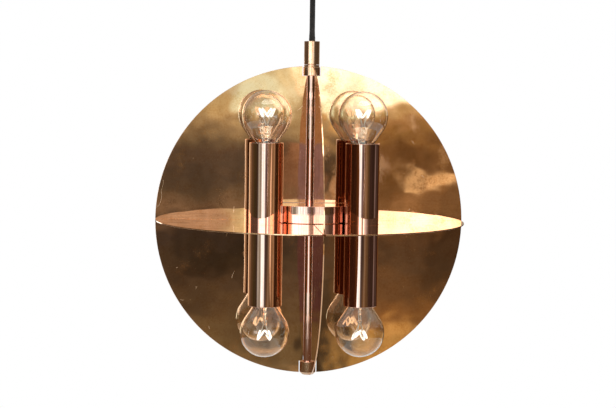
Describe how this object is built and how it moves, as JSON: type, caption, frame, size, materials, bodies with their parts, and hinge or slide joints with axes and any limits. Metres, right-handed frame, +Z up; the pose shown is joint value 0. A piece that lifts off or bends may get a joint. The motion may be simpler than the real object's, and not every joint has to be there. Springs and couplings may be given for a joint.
{
  "type": "pendant lamp",
  "caption": "Pendant lamp of crossed round copper sheets forming a globe of open cells, with upright tubes holding a clear bulb at each end, hung by a black textile cord.",
  "frame": {"origin": "middle of the ceiling plate's flat top face, which lies against the ceiling", "axes": "+Z up towards the ceiling; -Y towards the viewer of the front, square to one upright sheet; +X to that viewer's right"},
  "size_m": [0.28, 0.28, 0.3982],
  "materials": {
    "copper_sheet": "polished copper sheet, lacquer aged, mottled patina and fine scratches",
    "copper_tube": "polished copper tube, mirror bright",
    "copper_turned": "turned and polished copper",
    "copper_canopy": "spun and polished copper",
    "brass_fitting": "plain turned brass",
    "steel_plate": "zinc plated pressed steel",
    "bulb_cap_metal": "rolled brass screw cap",
    "bulb_mount": "pressed glass stalk with fine metal support wires and filament",
    "clear_glass": "clear blown glass",
    "dark_phenolic": "moulded dark phenolic",
    "pale_plastic": "moulded pale nylon",
    "porcelain": "unglazed porcelain",
    "cable_sheath": "heat proof sheathed lead",
    "black_textile": "braided black textile over a round cord"
  },
  "bodies": {
    "ceiling": {"ceiling_plate": "steel_plate", "canopy_cup": "copper_canopy", "canopy_screw": "brass_fitting"},
    "hanger": {"swivel_ball": "brass_fitting", "cord_clamp": "pale_plastic", "connector_block": "pale_plastic", "cord": "black_textile"},
    "pendant": {"cord_cap": "copper_turned", "stem_collar": "copper_turned", "stem_tube": "copper_tube", "stem_flex": "cable_sheath", "finial": "copper_turned", "sheet_level": "copper_sheet", "sheet_right": "copper_sheet", "sheet_rear": "copper_sheet", "sheet_left": "copper_sheet", "sheet_front": "copper_sheet", "hub_drum": "copper_tube", "junction_ring": "porcelain", "wiring_harness": "cable_sheath", "nipple_rear_right": "brass_fitting", "tube_rear_right": "copper_tube", "holder_rear_right_top": "dark_phenolic", "holder_rear_right_bottom": "dark_phenolic", "nipple_rear_left": "brass_fitting", "tube_rear_left": "copper_tube", "holder_rear_left_top": "dark_phenolic", "holder_rear_left_bottom": "dark_phenolic", "nipple_front_left": "brass_fitting", "tube_front_left": "copper_tube", "holder_front_left_top": "dark_phenolic", "holder_front_left_bottom": "dark_phenolic", "nipple_front_right": "brass_fitting", "tube_front_right": "copper_tube", "holder_front_right_top": "dark_phenolic", "holder_front_right_bottom": "dark_phenolic"},
    "bulb_rear_right_top": {"bulb_rear_right_top_cap": "bulb_cap_metal", "bulb_rear_right_top_glass": "clear_glass", "bulb_rear_right_top_mount": "bulb_mount"},
    "bulb_rear_right_bottom": {"bulb_rear_right_bottom_cap": "bulb_cap_metal", "bulb_rear_right_bottom_glass": "clear_glass", "bulb_rear_right_bottom_mount": "bulb_mount"},
    "bulb_rear_left_top": {"bulb_rear_left_top_cap": "bulb_cap_metal", "bulb_rear_left_top_glass": "clear_glass", "bulb_rear_left_top_mount": "bulb_mount"},
    "bulb_rear_left_bottom": {"bulb_rear_left_bottom_cap": "bulb_cap_metal", "bulb_rear_left_bottom_glass": "clear_glass", "bulb_rear_left_bottom_mount": "bulb_mount"},
    "bulb_front_left_top": {"bulb_front_left_top_cap": "bulb_cap_metal", "bulb_front_left_top_glass": "clear_glass", "bulb_front_left_top_mount": "bulb_mount"},
    "bulb_front_left_bottom": {"bulb_front_left_bottom_cap": "bulb_cap_metal", "bulb_front_left_bottom_glass": "clear_glass", "bulb_front_left_bottom_mount": "bulb_mount"},
    "bulb_front_right_top": {"bulb_front_right_top_cap": "bulb_cap_metal", "bulb_front_right_top_glass": "clear_glass", "bulb_front_right_top_mount": "bulb_mount"},
    "bulb_front_right_bottom": {"bulb_front_right_bottom_cap": "bulb_cap_metal", "bulb_front_right_bottom_glass": "clear_glass", "bulb_front_right_bottom_mount": "bulb_mount"}
  },
  "joints": [
    {"name": "swing", "type": "hinge", "parent": "ceiling", "child": "hanger", "pos_m": [0, 0, -0.03943], "axis": [0, 1, 0], "range_deg": [-15, 15]},
    {"name": "turn", "type": "hinge", "parent": "hanger", "child": "pendant", "pos_m": [0, 0, -0.09443], "axis": [0, 0, 1], "range_deg": [-180, 180]},
    {"name": "unscrew_rear_right_top", "type": "slide", "parent": "pendant", "child": "bulb_rear_right_top", "axis": [0, 0, 1], "range_m": [0, 0.04]},
    {"name": "unscrew_rear_right_bottom", "type": "slide", "parent": "pendant", "child": "bulb_rear_right_bottom", "axis": [0, 0, -1], "range_m": [0, 0.04]},
    {"name": "unscrew_rear_left_top", "type": "slide", "parent": "pendant", "child": "bulb_rear_left_top", "axis": [0, 0, 1], "range_m": [0, 0.04]},
    {"name": "unscrew_rear_left_bottom", "type": "slide", "parent": "pendant", "child": "bulb_rear_left_bottom", "axis": [0, 0, -1], "range_m": [0, 0.04]},
    {"name": "unscrew_front_left_top", "type": "slide", "parent": "pendant", "child": "bulb_front_left_top", "axis": [0, 0, 1], "range_m": [0, 0.04]},
    {"name": "unscrew_front_left_bottom", "type": "slide", "parent": "pendant", "child": "bulb_front_left_bottom", "axis": [0, 0, -1], "range_m": [0, 0.04]},
    {"name": "unscrew_front_right_top", "type": "slide", "parent": "pendant", "child": "bulb_front_right_top", "axis": [0, 0, 1], "range_m": [0, 0.04]},
    {"name": "unscrew_front_right_bottom", "type": "slide", "parent": "pendant", "child": "bulb_front_right_bottom", "axis": [0, 0, -1], "range_m": [0, 0.04]}
  ]
}
